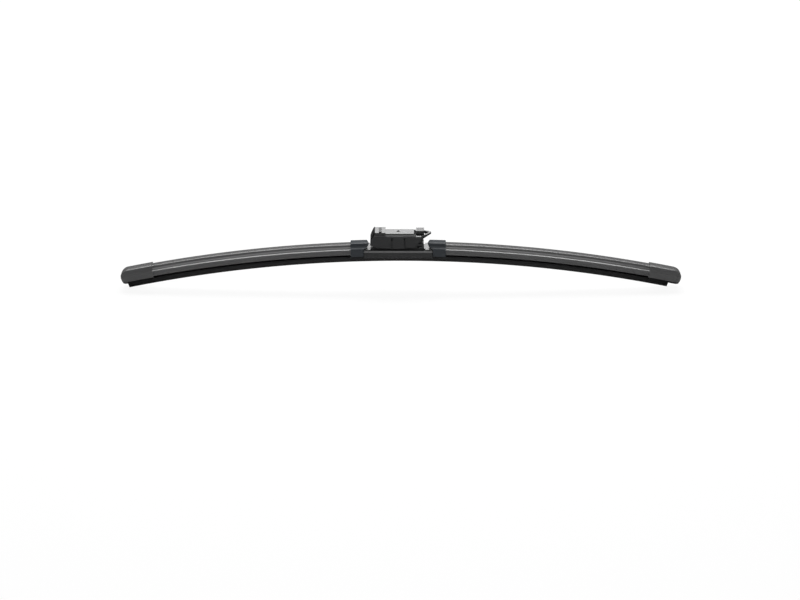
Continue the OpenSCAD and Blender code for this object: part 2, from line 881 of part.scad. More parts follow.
// Raised head at the tail of the adapter, hollow below, with a shallow groove across its top
module raised_head() {
    groove_x = (head_left + head_right) / 2;
    top = seat_h + head_rise;
    difference() {
        intersection() {
            block([-big, -head_plate_w / 2, shoulder_top - 1], [head_right, head_plate_w / 2, top]);
            across(-adapter_w, adapter_w) translate([tail_x, tail_h]) circle(r = tail_r, $fn = 128);
        }
        block([groove_x - head_groove_w / 2, -adapter_w, top - groove_depth],
            [groove_x + head_groove_w / 2, adapter_w, top + 1]);
        intersection() {
            block([-big, -inner_half + 0.6, 0], [head_right - 1.4, inner_half - 0.6, top - 1.6]);
            across(-adapter_w, adapter_w)
                translate([tail_x, tail_h]) circle(r = tail_r - tail_wall, $fn = 128);
        }
    }
}

// Springy tongue with the ribbed button at its end
module latch_button() {
    pitch = button_len / button_ribs;
    color(black_plastic) in_frame()
        difference() {
            union() {
                block([-tongue_root, -tongue_w / 2, tongue_low], [button_far, tongue_w / 2, tongue_top]);
                block([button_near, -tongue_w / 2, tongue_low], [button_far, tongue_w / 2, button_top]);
                block([button_near, -button_w / 2, button_skirt], [button_far, button_w / 2, button_top]);
            }
            for (i = [1:button_ribs - 1])
                block([button_near + i * pitch - 0.3 * pitch / 2, -button_w, button_top - rib_depth],
                    [button_near + i * pitch + 0.3 * pitch / 2, button_w, button_top + 1]);
        }
}

wiper_rubber();
spring_rail_front();
spring_rail_rear();
spoiler_left();
spoiler_right();
cover_sleeve_left();
cover_sleeve_right();
connector_base();
rail_saddle();
pivot_pin();
adapter();
latch_button();
end_cap_left();
end_cap_right();
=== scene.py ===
"""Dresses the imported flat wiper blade: extruded spoiler, moulded covers and adapter, rubber and steel."""
import logging
import math
from dataclasses import dataclass
from enum import Enum
from typing import Sequence

import bmesh
import bpy
import numpy as np
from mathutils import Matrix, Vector


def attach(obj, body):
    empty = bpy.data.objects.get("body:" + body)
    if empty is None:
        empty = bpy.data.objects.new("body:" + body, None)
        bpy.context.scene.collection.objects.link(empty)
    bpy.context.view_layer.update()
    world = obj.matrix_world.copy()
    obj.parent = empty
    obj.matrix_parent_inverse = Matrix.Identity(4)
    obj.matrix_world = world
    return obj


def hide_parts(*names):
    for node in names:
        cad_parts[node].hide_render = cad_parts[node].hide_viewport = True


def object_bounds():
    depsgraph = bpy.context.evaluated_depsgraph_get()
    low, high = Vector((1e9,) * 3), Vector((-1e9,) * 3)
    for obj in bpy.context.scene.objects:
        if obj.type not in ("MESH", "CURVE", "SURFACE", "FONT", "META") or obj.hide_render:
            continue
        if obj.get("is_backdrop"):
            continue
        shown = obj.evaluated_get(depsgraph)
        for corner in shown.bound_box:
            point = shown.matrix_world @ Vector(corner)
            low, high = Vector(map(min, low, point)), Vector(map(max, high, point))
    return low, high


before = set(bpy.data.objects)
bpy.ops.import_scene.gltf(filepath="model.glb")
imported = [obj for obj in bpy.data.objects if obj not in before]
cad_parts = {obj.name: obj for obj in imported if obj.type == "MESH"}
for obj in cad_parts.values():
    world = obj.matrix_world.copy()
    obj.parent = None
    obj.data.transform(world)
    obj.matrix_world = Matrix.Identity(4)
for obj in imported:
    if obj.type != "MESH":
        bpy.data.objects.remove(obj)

LOG = logging.getLogger("wiper_blade")
MM = 0.001
MARK_SHARE = 0.4  # what the long marks add to the roughness, beside the clouds' 1
ROUGH_SPAN = (0.35, 1.05)  # the sum of both that spans a finish's two roughnesses
MERGE_DISTANCE = 2e-6  # metres below which points of a solid's loose triangles are one
FLAT_ANGLE = 0.6  # degrees below which triangles of a solid lie in one plane
WATTS_PER_SQUARE_METRE = 4.0  # the power that makes a panel's surface as bright as white
Array = np.ndarray


class Body(str, Enum):
    """The bodies of the frame that pieces ride on."""

    ADAPTER = "adapter"
    BLADE = "blade"
    LATCH = "latch"


class Side(int, Enum):
    """The two ends of the blade, as the sign of their place along it."""

    LEFT = -1
    RIGHT = 1


class Slot(str, Enum):
    """The record's material slots."""

    RUBBER = "black_rubber"
    SPOILER = "spoiler_plastic"
    SLEEVE = "sleeve_plastic"
    PLASTIC = "black_plastic"
    STEEL = "spring_steel"


# ---- materials


def maths(tree: bpy.types.NodeTree, operation: str, *values: float | bpy.types.NodeSocket) -> bpy.types.NodeSocket:
    """Adds a maths node.

    Args:
        tree: The node tree.
        operation: The node's operation.
        values: A number or an output for each of its inputs.

    Returns:
        The node's output.
    """
    node = tree.nodes.new("ShaderNodeMath")
    node.operation = operation
    for place, value in zip(node.inputs, values):
        if isinstance(value, bpy.types.NodeSocket):
            tree.links.new(value, place)
        else:
            place.default_value = value
    return node.outputs[0]


@dataclass(frozen=True)
class Finish:
    """A surface whose colour, gloss and relief vary a little from place to place.

    The colour is mixed from two close tones by a soft noise, the roughness follows a second noise, and the
    relief is a fine grain added to longer marks that run along the blade.
    """

    name: str
    tone: tuple[float, float, float]
    far_tone: tuple[float, float, float]
    rough: tuple[float, float]
    metallic: float = 0.0
    specular: float = 0.5
    ior: float = 1.5
    grain_size: float = 0.35
    grain_depth: float = 0.012
    mark_size: float = 1.2
    mark_stretch: float = 30.0
    mark_depth: float = 0.004
    cloud_size: float = 14.0
    along_uv: bool = False

    def build(self) -> bpy.types.Material:
        """Makes the node material.

        Returns:
            The new material.
        """
        material = bpy.data.materials.new(self.name)
        material.use_nodes = True
        tree = material.node_tree
        nodes, link = tree.nodes, tree.links.new
        shader = nodes["Principled BSDF"]
        shader.inputs["Metallic"].default_value = self.metallic
        shader.inputs["IOR"].default_value = self.ior
        shader.inputs["Specular IOR Level"].default_value = self.specular

        places = nodes.new("ShaderNodeTexCoord").outputs
        source = places["UV" if self.along_uv else "Object"]
        cloud = self._noise(tree, places["Object"], self.cloud_size, (1, 1, 1), 3)
        marks = self._noise(tree, source, self.mark_size, (1 / self.mark_stretch, 1, 1), 2)
        grain = self._noise(tree, places["Object"], self.grain_size, (1, 1, 1), 1)

        tones = nodes.new("ShaderNodeMix")
        tones.data_type = "RGBA"
        tones.inputs["A"].default_value = (*self.tone, 1)
        tones.inputs["B"].default_value = (*self.far_tone, 1)
        link(cloud, tones.inputs["Factor"])
        link(tones.outputs["Result"], shader.inputs["Base Color"])

        rough = nodes.new("ShaderNodeMapRange")
        for k, end in enumerate(("Min", "Max")):
            rough.inputs[f"From {end}"].default_value = ROUGH_SPAN[k]
            rough.inputs[f"To {end}"].default_value = self.rough[k]
        link(maths(tree, "MULTIPLY_ADD", marks, MARK_SHARE, cloud), rough.inputs["Value"])
        link(rough.outputs["Result"], shader.inputs["Roughness"])

        long_marks = self._relief(tree, marks, self.mark_depth)
        fine = self._relief(tree, grain, self.grain_depth)
        link(long_marks.outputs["Normal"], fine.inputs["Normal"])
        link(fine.outputs["Normal"], shader.inputs["Normal"])
        return material

    @staticmethod
    def _relief(tree: bpy.types.NodeTree, height: bpy.types.NodeSocket, depth: float) -> bpy.types.Node:
        """Adds a bump.

        Args:
            tree: The node tree.
            height: The output that gives the relief's height, from 0 to 1.
            depth: Its full depth in millimetres.

        Returns:
            The bump node.
        """
        bump = tree.nodes.new("ShaderNodeBump")
        bump.inputs["Strength"].default_value = 1.0
        bump.inputs["Distance"].default_value = depth * MM
        tree.links.new(height, bump.inputs["Height"])
        return bump

    @staticmethod
    def _noise(tree: bpy.types.NodeTree, source: bpy.types.NodeSocket, size: float,
               stretch: tuple[float, float, float], detail: float) -> bpy.types.NodeSocket:
        """Adds a noise whose features are about the given size.

        Args:
            tree: The node tree.
            source: The coordinate output that the noise reads, in metres.
            size: The size of the features in millimetres.
            stretch: Factors on the three axes, below one where the features are long.
            detail: The number of finer octaves.

        Returns:
            The noise's factor output.
        """
        mapping = tree.nodes.new("ShaderNodeMapping")
        mapping.inputs["Scale"].default_value = stretch
        tree.links.new(source, mapping.inputs["Vector"])
        noise = tree.nodes.new("ShaderNodeTexNoise")
        noise.inputs["Scale"].default_value = 1 / (size * MM)
        noise.inputs["Detail"].default_value = detail
        tree.links.new(mapping.outputs["Vector"], noise.inputs["Vector"])
        return noise.outputs["Fac"]


MOULDED_BLACK = Finish("moulded_black", (0.035, 0.0355, 0.0365), (0.041, 0.0415, 0.042), (0.21, 0.27),
                       grain_size=0.3, grain_depth=0.005)
SLEEVE_BLACK = Finish("sleeve_black", (0.043, 0.047, 0.052), (0.048, 0.053, 0.059), (0.20, 0.26),
                      specular=0.06, grain_size=0.3, grain_depth=0.010)
CAP_BLACK = Finish("cap_black", (0.086, 0.0865, 0.087), (0.094, 0.094, 0.095), (0.18, 0.24),
                   specular=0.4, grain_size=0.4, grain_depth=0.016)
SPOILER_BLACK = Finish("spoiler_black", (0.092, 0.092, 0.093), (0.101, 0.101, 0.102), (0.17, 0.22),
                       grain_size=0.25, grain_depth=0.006, mark_size=0.7, mark_stretch=80, mark_depth=0.006,
                       along_uv=True)
LIP_RUBBER = Finish("lip_rubber", (0.013, 0.013, 0.0135), (0.020, 0.020, 0.0205), (0.55, 0.72),
                    grain_size=0.3, grain_depth=0.014, mark_size=0.5, mark_stretch=60, mark_depth=0.006,
                    along_uv=True)
ROLLED_STEEL = Finish("rolled_steel", (0.40, 0.41, 0.42), (0.50, 0.50, 0.51), (0.26, 0.40), metallic=1.0,
                      grain_size=0.2, grain_depth=0.003, mark_size=0.3, mark_stretch=60, mark_depth=0.004)
# Near black: painted shade, for the skin round the adapter's tail and the feet under the end caps.
PAINTED_SHADE_BLACK = Finish("painted_shade_black", (0.008, 0.008, 0.0085), (0.011, 0.011, 0.0115), (0.38, 0.44), specular=0.2,
                    grain_size=0.3, grain_depth=0.010)
# Rougher than the moulding, and a little darker: the darker tone is painted shade in the groove between the adapter's
# pads.
GROOVE_PAINTED_SHADE = Finish("groove_painted_shade", (0.030, 0.0305, 0.031), (0.035, 0.0355, 0.036), (0.50, 0.56),
                      grain_size=0.3, grain_depth=0.010)
# Near black and dull: painted shade, for the seat's pressed triangle and the opening beside the latch button.
PAINTED_SHADE_MARK = Finish("painted_shade_mark", (0.012, 0.012, 0.012), (0.018, 0.018, 0.018), (0.75, 0.85), specular=0.15)


class Palette:
    """Builds each finish once and gives it to the pieces."""

    def __init__(self) -> None:
        """Starts with no material built."""
        self._built: dict[str, bpy.types.Material] = {}

    def __call__(self, finish: Finish) -> bpy.types.Material:
        """Gives the material of a finish, and builds it the first time.

        Args:
            finish: The finish.

        Returns:
            Its material.
        """
        if finish.name not in self._built:
            self._built[finish.name] = finish.build()
        return self._built[finish.name]


# ---- shapes


@dataclass(frozen=True)
class BladeCurve:
    """The circle that the lip follows when the blade is free, in millimetres."""

    radius: float = 1262.0
    shift: float = 2.2
    seat: float = 31.6

    def place(self, chord: Array, depth: Array, height: Array) -> Array:
        """Carries points of a cross-section to their place along the blade.

        The angle is the arc sine of the chord over the radius. A point is at that angle on the circle whose
        radius is larger by its height, and the whole is lowered so that the seat is at zero.

        Args:
            chord: Distances along the chord from the pivot.
            depth: Distances across the blade, towards the rear.
            height: Heights above the lip's tip.

        Returns:
            Points in metres, with the three coordinates on a new last axis.
        """
        angle = np.arcsin((chord - self.shift) / self.radius)
        reach = self.radius + height
        along = self.shift + reach * np.sin(angle)
        up = reach * np.cos(angle) - self.radius - self.seat
        return np.stack(np.broadcast_arrays(along, depth, up), axis=-1) * MM


CURVE = BladeCurve()


def circle_cross(a: Sequence[float], r_a: float, b: Sequence[float], r_b: float) -> tuple[Array, Array]:
    """Finds where two circles cross.

    The foot on the line between the middles is at half of (distance + (r_a squared - r_b squared) / distance),
    and the crossings lie a half chord to each side of it.

    Args:
        a: Middle of the first circle.
        r_a: Its radius.
        b: Middle of the second circle.
        r_b: Its radius.

    Returns:
        The crossing to the left of the line from a to b, and the one to its right.
    """
    a, b = np.asarray(a, float), np.asarray(b, float)
    line = b - a
    distance = np.hypot(*line)
    line = line / distance
    foot = (distance + (r_a * r_a - r_b * r_b) / distance) / 2
    half = math.sqrt(max(r_a * r_a - foot * foot, 0.0))
    side = np.array([-line[1], line[0]])
    return a + foot * line + half * side, a + foot * line - half * side


def arc(middle: Sequence[float], start: Array, end: Array, count: int = 24) -> Array:
    """Points on the shorter arc between two points of a circle.

    The angle goes evenly from the start's to the end's, and the radius from one's distance to the other's.

    Args:
        middle: Middle of the circle.
        start: First point.
        end: Last point.
        count: Number of points.

    Returns:
        An array of points.
    """
    middle = np.asarray(middle, float)
    a, b = np.asarray(start, float) - middle, np.asarray(end, float) - middle
    from_angle = math.atan2(a[1], a[0])
    turn = (math.atan2(b[1], b[0]) - from_angle + math.pi) % math.tau - math.pi
    angle = from_angle + turn * np.linspace(0, 1, count)
    radius = np.linspace(np.hypot(*a), np.hypot(*b), count)
    return middle + radius[:, None] * np.stack([np.cos(angle), np.sin(angle)], axis=-1)


def softened(outline: Array, spread: float, step: float = 0.06, turn: float = 9.0, reach: float = 2.4) -> Array:
    """Rounds every corner of a closed outline and thins its points.

    The outline is resampled evenly and blurred with a bell curve of the given spread, which leaves straight
    runs alone. Points are then taken at even steps of the turned angle plus the length, so they are close
    together only where the outline bends.

    Args:
        outline: Corners of the closed outline.
        spread: Width of the bell curve in millimetres.
        step: Spacing of the even resampling.
        turn: Degrees that the outline may turn between two points.
        reach: Distance that it may run straight between two points.

    Returns:
        The points of the softened outline, without repeating the first.
    """
    closed = np.vstack([outline, outline[:1]])
    length = np.concatenate([[0], np.cumsum(np.hypot(*np.diff(closed, axis=0).T))])
    count = int(length[-1] / step)
    at = np.linspace(0, length[-1], count, endpoint=False)
    even = np.stack([np.interp(at, length, closed[:, k]) for k in (0, 1)], axis=-1)
    lag = np.minimum(np.arange(count), count - np.arange(count)) * (length[-1] / count)
    bell = np.exp(-0.5 * (lag / spread) ** 2)
    bell = np.fft.rfft(bell / bell.sum())
    soft = np.fft.irfft(np.fft.rfft(even, axis=0) * bell[:, None], n=count, axis=0)
    run = np.roll(soft, -1, axis=0) - soft
    heading = np.arctan2(run[:, 1], run[:, 0])
    bend = np.abs((heading - np.roll(heading, 1) + math.pi) % math.tau - math.pi)
    weight = np.concatenate([[0], np.cumsum(bend / math.radians(turn) + np.hypot(*run.T) / reach)])
    wanted = np.linspace(0, weight[-1], int(weight[-1]) + 1, endpoint=False)
    ring = np.vstack([soft, soft[:1]])
    return np.stack([np.interp(wanted, weight, ring[:, k]) for k in (0, 1)], axis=-1)


def inset(outline: Array, amount: float) -> Array:
    """Moves each point of a closed outline inwards, along the mean normal of the two edges beside it.

    Args:
        outline: Points of the outline, counter-clockwise.
        amount: Distance to move them.

    Returns:
        The moved points.
    """
    run = np.roll(outline, -1, axis=0) - np.roll(outline, 1, axis=0)
    inward = np.stack([-run[:, 1], run[:, 0]], axis=-1) / np.hypot(*run.T)[:, None]
    return outline + amount * inward


def rounded_rim(outline: Array, radius: float, steps: int = 4) -> tuple[Array, Array]:
    """Gives the rings that round the rim of a cover's flat end.

    Ring k is a quarter circle's step: its distance from the end is the radius times one minus the sine of the
    angle, and its outline is drawn in by the radius times one minus the cosine.

    Args:
        outline: Points of the closed outline, counter-clockwise.
        radius: Radius of the rim in millimetres.
        steps: Number of steps round the quarter circle.

    Returns:
        The distances from the end, largest first, and the outlines that go with them.
    """
    angle = np.linspace(0, math.pi / 2, steps + 1)
    return radius * (1 - np.sin(angle)), np.stack([inset(outline, radius * (1 - math.cos(a))) for a in angle])


def swept_mesh(name: str, rings: Array, lengths: Array) -> bpy.types.Mesh:
    """Makes a closed mesh from rings of points, with a flat face at each end and a map in metres.

    Point (i, j) is point j of ring i. Face (i, j) joins it to its neighbours in the ring and in the next ring.
    The map's first coordinate is the length along the sweep, and its second the length round the ring.

    Args:
        name: Name of the mesh.
        rings: Points in metres, indexed by ring, place in the ring, and coordinate.
        lengths: Length along the sweep of each ring, in metres.

    Returns:
        The mesh, with its faces pointing outwards.
    """
    n_ring, n_point = rings.shape[:2]
    index = np.arange(n_ring * n_point).reshape(n_ring, n_point)
    beside = np.roll(index, -1, axis=1)
    quads = np.stack([index[:-1], beside[:-1], beside[1:], index[1:]], axis=-1).reshape(-1, 4)
    faces = quads.tolist() + [index[0][::-1].tolist(), index[-1].tolist()]
    mesh = bpy.data.meshes.new(name)
    mesh.from_pydata(rings.reshape(-1, 3), [], faces)

    step = np.linalg.norm(np.roll(rings[0], -1, axis=0) - rings[0], axis=-1)
    around = np.concatenate([[0], np.cumsum(step)])
    grid = np.stack(np.meshgrid(lengths, around, indexing="ij"), axis=-1)
    corners = np.stack([grid[:-1, :-1], grid[:-1, 1:], grid[1:, 1:], grid[1:, :-1]], axis=2)
    ends = np.concatenate([rings[0][::-1, 1:], rings[-1][:, 1:]])
    layer = mesh.uv_layers.new(name="sweep")
    layer.uv.foreach_set("vector", np.concatenate([corners.reshape(-1, 2), ends]).astype(np.float32).ravel())
    work = bmesh.new()
    work.from_mesh(mesh)
    bmesh.ops.recalc_face_normals(work, faces=work.faces)
    work.to_mesh(mesh)
    work.free()
    return mesh


def prism(name: str, outline: Sequence[Sequence[float]], start: float, end: float, axis: int) -> bpy.types.Mesh:
    """Makes a straight piece from its outline.

    Args:
        name: Name of the mesh.
        outline: Points of the outline in millimetres, on the two other axes in their order.
        start: Where it starts on the axis.
        end: Where it ends on the axis.
        axis: 0, 1 or 2 for the axis that it runs along.

    Returns:
        The mesh.
    """
    flat = np.asarray(outline, dtype=float)
    rings = np.stack([np.insert(flat, axis, level, axis=1) for level in (start, end)]) * MM
    return swept_mesh(name, rings, np.array([start, end]) * MM)


def extruded(name: str, section: Array, chord: Array) -> bpy.types.Mesh:
    """Carries an unchanging section along the blade's curve.

    Args:
        name: Name of the mesh.
        section: Points of the section, as depth and height in millimetres.
        chord: Places along the blade in millimetres.

    Returns:
        The mesh.
    """
    return swept_mesh(name, CURVE.place(chord[:, None], section[:, 0], section[:, 1]), chord * MM)


def keep_flats_flat(mesh: bpy.types.Mesh, limit: float) -> None:
    """Shades a mesh smoothly round its eased edges and leaves its flat faces flat.

    The normal at a corner of a face is the sum of the normals of the faces that meet at that point and lean
    by less than the limit from the face, each times its area, so that a flat outweighs the strips beside it.

    Args:
        mesh: The mesh.
        limit: Largest angle between faces that are shaded as one, in degrees.
    """
    count = len(mesh.loops)
    point, area = np.empty(count, dtype=int), np.empty(len(mesh.polygons))
    normal, total = np.empty(len(mesh.polygons) * 3), np.empty(len(mesh.polygons), dtype=int)
    mesh.loops.foreach_get("vertex_index", point)
    mesh.polygons.foreach_get("area", area)
    mesh.polygons.foreach_get("normal", normal)
    mesh.polygons.foreach_get("loop_total", total)
    normal = normal.reshape(-1, 3)
    face = np.repeat(np.arange(len(total)), total)

    order = np.argsort(point, kind="stable")
    meeting = np.bincount(point)
    start = np.cumsum(meeting) - meeting
    pairs = meeting[point]
    left = np.repeat(np.arange(count), pairs)
    step = np.arange(pairs.sum()) - np.repeat(np.cumsum(pairs) - pairs, pairs)
    other = face[order[start[point][left] + step]]
    near = (normal[face[left]] * normal[other]).sum(axis=1) > math.cos(math.radians(limit))
    weight = np.where(near, area[other], 0)
    summed = np.stack([np.bincount(left, weight * normal[other, k], count) for k in range(3)], axis=-1)
    summed /= np.linalg.norm(summed, axis=1)[:, None]
    mesh.shade_smooth()
    mesh.normals_split_custom_set(summed.tolist())


@dataclass
class Piece:
    """One visible object: its mesh, what it rides on, what it stands for and how it is finished."""

    name: str
    mesh: bpy.types.Mesh
    body: Body
    slot: Slot
    material: bpy.types.Material
    stands_for: tuple[str, ...] = ()
    edge_angle: float = 32.0
    eased: bool = False

    def put(self) -> None:
        """Adds the object to the scene."""
        thing = bpy.data.objects.new(self.name, self.mesh)
        bpy.context.scene.collection.objects.link(thing)
        self.mesh.materials.clear()
        self.mesh.materials.append(self.material)
        if self.eased:
            keep_flats_flat(self.mesh, self.edge_angle)
        else:
            self.mesh.shade_smooth()
            self.mesh.set_sharp_from_angle(angle=math.radians(self.edge_angle))
        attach(thing, self.body.value)
        if self.stands_for:
            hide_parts(*self.stands_for)
        LOG.info("%s: %d points", self.name, len(self.mesh.vertices))


@dataclass(frozen=True)
class Section:
    """The blade's cross-section, as depth towards the rear and height above the lip's tip, in millimetres."""

    width: float = 14.6
    crest: float = 19.5
    crest_fore: float = 3.2
    crest_round: float = 0.8
    skirt: float = 10.3
    crown_r: float = 80.0
    crown_lean: float = math.radians(5)
    hollow_r: float = 5.5
    hollow_fore: float = 8.6
    hollow_rise: float = 1.3
    rear_r: float = 12.0
    rear_depth: float = 0.4
    rear_fall: float = 0.6
    cap_crease: float = 6.3
    cap_hollow_r: float = 12.0
    cap_rise: float = 0.7
    cap_tuck: float = 0.35
    cap_tuck_rise: float = 0.5
    slot_half: float = 5.99
    slot_low: float = 11.28
    slot_top: float = 12.42
    head_half: float = 3.2
    head_top: float = 14.12
    mouth: float = 3.5
    bead: float = 0.5
    corner_blur: float = 0.13
    cover_blur: float = 0.2

    def crown(self, grow: float) -> tuple[Array, float]:
        """Gives the middle and the radius of the crown, larger by the given amount."""
        fall = np.array([math.sin(self.crown_lean), math.cos(self.crown_lean)])
        return np.array([-self.crest_fore, self.crest]) - self.crown_r * fall, self.crown_r + grow

    def crown_point(self, depth: float, grow: float) -> Array:
        """Gives the point of the crown at a depth."""
        middle, radius = self.crown(grow)
        return np.array([depth, middle[1] + math.sqrt(radius**2 - (depth - middle[0]) ** 2)])

    def rear_half(self, grow: float) -> Array:
        """Gives the outline from the lower rear corner up to the rear end of the crown.

        Args:
            grow: How far the outline lies outside the spoiler's.

        Returns:
            Points of the open outline.
        """
        edge = self.width / 2 + grow
        middle = np.array([edge + self.rear_r - self.rear_depth, (self.crest + self.skirt) / 2 - self.rear_fall])
        half = math.sqrt(self.rear_r**2 - (self.rear_r - self.rear_depth) ** 2)
        hollow = arc(middle, [edge, middle[1] - half], [edge, middle[1] + half])
        return np.vstack([[edge, self.skirt - grow], hollow, self.crown_point(edge, grow)])

    def outline(self, grow: float) -> Array:
        """Gives the spoiler's outline, larger by the given amount, from the lower rear to the lower front corner.

        The rear is a shallow hollow, the top is the crown's arc, and the front is the arc of the deep hollow
        that ends on the upright skirt. The crest between the last two is a small arc that touches both: its
        middle is one radius inside the crown's circle and one outside the hollow's.

        Args:
            grow: How far the outline lies outside the spoiler's.

        Returns:
            Points of the open outline.
        """
        middle, radius = self.crown(grow)
        rear = self.rear_half(grow)
        hollow, hollow_r = np.array([-self.hollow_fore, self.crest + self.hollow_rise]), self.hollow_r - grow
        edge = -self.width / 2 - grow
        bend = circle_cross(hollow, hollow_r + self.crest_round, middle, radius - self.crest_round)[0]
        on_crown = middle + (bend - middle) * radius / np.hypot(*(bend - middle))
        on_hollow = hollow + (bend - hollow) * hollow_r / np.hypot(*(bend - hollow))
        foot = np.array([edge, hollow[1] - math.sqrt(hollow_r**2 - (edge - hollow[0]) ** 2)])
        return np.vstack([rear, arc(middle, rear[-1], on_crown)[1:], arc(bend, on_crown, on_hollow)[1:],
                          arc(hollow, on_hollow, foot)[1:], [edge, self.skirt - grow]])

    def cap_outline(self, grow: float, drop: float) -> Array:
        """Gives the end caps' outline, whose front is a slight hollow between a crease and an upright skirt.

        Both skirts turn inwards at the foot.

        Args:
            grow: How far the outline lies outside the spoiler's.
            drop: How much lower the foot lies.

        Returns:
            Points of the open outline.
        """
        middle, _ = self.crown(grow)
        edge, foot = -self.width / 2 - grow, self.skirt - grow - drop
        turned, rise = -edge - self.cap_tuck, foot + self.cap_tuck_rise
        rear = np.vstack([[turned, foot], [-edge, rise], self.rear_half(grow)[1:]])
        drop_to_corner = math.sqrt(self.hollow_r**2 - (self.hollow_fore - self.width / 2) ** 2)
        corner = self.crest + self.hollow_rise - drop_to_corner
        low = np.array([edge, corner + self.cap_rise])
        top = self.crown_point(-self.cap_crease, grow)
        hollow = circle_cross(low, self.cap_hollow_r, top, self.cap_hollow_r)[0]
        return np.vstack([rear, arc(middle, rear[-1], top)[1:], arc(hollow, top, low)[1:],
                          [edge, rise], [-turned, foot]])

    def spoiler(self) -> Array:
        """Gives the section of the spoiler: outline, half round beads, and the slots for rubber and rails.

        Returns:
            Points of the closed section.
        """
        low, r = self.skirt, self.bead
        around = np.linspace(-0.5, 0.5, 9) * math.pi
        bead = np.stack([self.width / 2 + r * np.cos(around), low + r + r * np.sin(around)], axis=-1)
        slot = np.array([
            [self.mouth, low], [self.mouth, self.slot_low], [self.slot_half, self.slot_low],
            [self.slot_half, self.slot_top], [self.head_half, self.slot_top], [self.head_half, self.head_top]])
        front = [-1, 1]
        return softened(np.vstack([bead, self.outline(0.0)[1:-1], bead[::-1] * front, slot * front, slot[::-1]]),
                        self.corner_blur)

    def cover(self, outer: Array, mouth: float) -> Array:
        """Gives the section of a cover, with a channel for the rubber below.

        Args:
            outer: Points of its open outline.
            mouth: Half of the channel's width.

        Returns:
            Points of the closed section.
        """
        low = outer[0, 1]
        channel = np.array([[-mouth, low], [-mouth, self.slot_low], [mouth, self.slot_low], [mouth, low]])
        return softened(np.vstack([outer, channel]), self.cover_blur)


SECTION = Section()
RUBBER_REACH = {Side.LEFT: 266.2, Side.RIGHT: 265.8}  # millimetres from the pivot, along the chord


# ---- the long parts


@dataclass
class SpoilerPair:
    """The two extruded spoiler halves."""

    inner: float = 33.7
    lap: float = 26.0
    left_reach: float = 270.2
    right_reach: float = 275.2
    pitch: float = 2.5
    finish: Finish = SPOILER_BLACK

    def half(self, side: Side) -> bpy.types.Mesh:
        """Carries the spoiler's section along one half of the blade's curve.

        Args:
            side: The half to build.

        Returns:
            The mesh.
        """
        reach = (self.left_reach if side is Side.LEFT else self.right_reach) - self.lap
        chord = side.value * np.linspace(self.inner, reach, int((reach - self.inner) / self.pitch))
        return extruded(f"spoiler_{side.name.lower()}_skin", SECTION.spoiler(), chord)

    def dress(self, palette: Palette) -> None:
        """Adds both halves to the scene.

        Args:
            palette: Builds the finishes.
        """
        for side in Side:
            node, mesh = f"spoiler_{side.name.lower()}", self.half(side)
            Piece(mesh.name, mesh, Body.BLADE, Slot.SPOILER, palette(self.finish), (node,)).put()


@dataclass
class WiperRubber:
    """The extruded rubber: head and bar on either side of the rails, the hinge web and the lip."""

    head: tuple[float, float, float] = (3.0, 12.42, 13.92)
    core: float = 1.55
    bar: tuple[float, float, float] = (3.3, 7.98, 11.28)
    web: float = 0.45
    shoulder: tuple[float, float, float] = (2.9, 6.6, 5.2)
    lip: tuple[float, float] = (0.4, 0.9)
    bar_chamfer: float = 0.5
    blur: float = 0.1
    ring_count: int = 200
    finish: Finish = LIP_RUBBER

    def section(self) -> Array:
        """Gives the section: the right half's corners from the head down, then their mirror image.

        Returns:
            Points of the closed section.
        """
        head, head_low, head_top = self.head
        bar, bar_low, bar_top = self.bar
        shoulder, shoulder_top, shoulder_low = self.shoulder
        lip, lip_top = self.lip
        cut = self.bar_chamfer
        right = np.array([
            [head, head_top], [head, head_low], [self.core, head_low], [self.core, bar_top], [bar, bar_top],
            [bar, bar_low + cut], [bar - cut, bar_low], [self.web, bar_low], [self.web, shoulder_top],
            [shoulder, shoulder_top], [shoulder, shoulder_low], [lip, lip_top], [lip, 0.0]])
        return softened(np.vstack([right, right[::-1] * [-1, 1]]), self.blur)

    def dress(self, palette: Palette) -> None:
        """Adds the rubber to the scene.

        Args:
            palette: Builds the finishes.
        """
        chord = np.linspace(-RUBBER_REACH[Side.LEFT], RUBBER_REACH[Side.RIGHT], self.ring_count)
        mesh = extruded("wiper_rubber_skin", self.section(), chord)
        Piece(mesh.name, mesh, Body.BLADE, Slot.RUBBER, palette(self.finish), ("wiper_rubber",)).put()


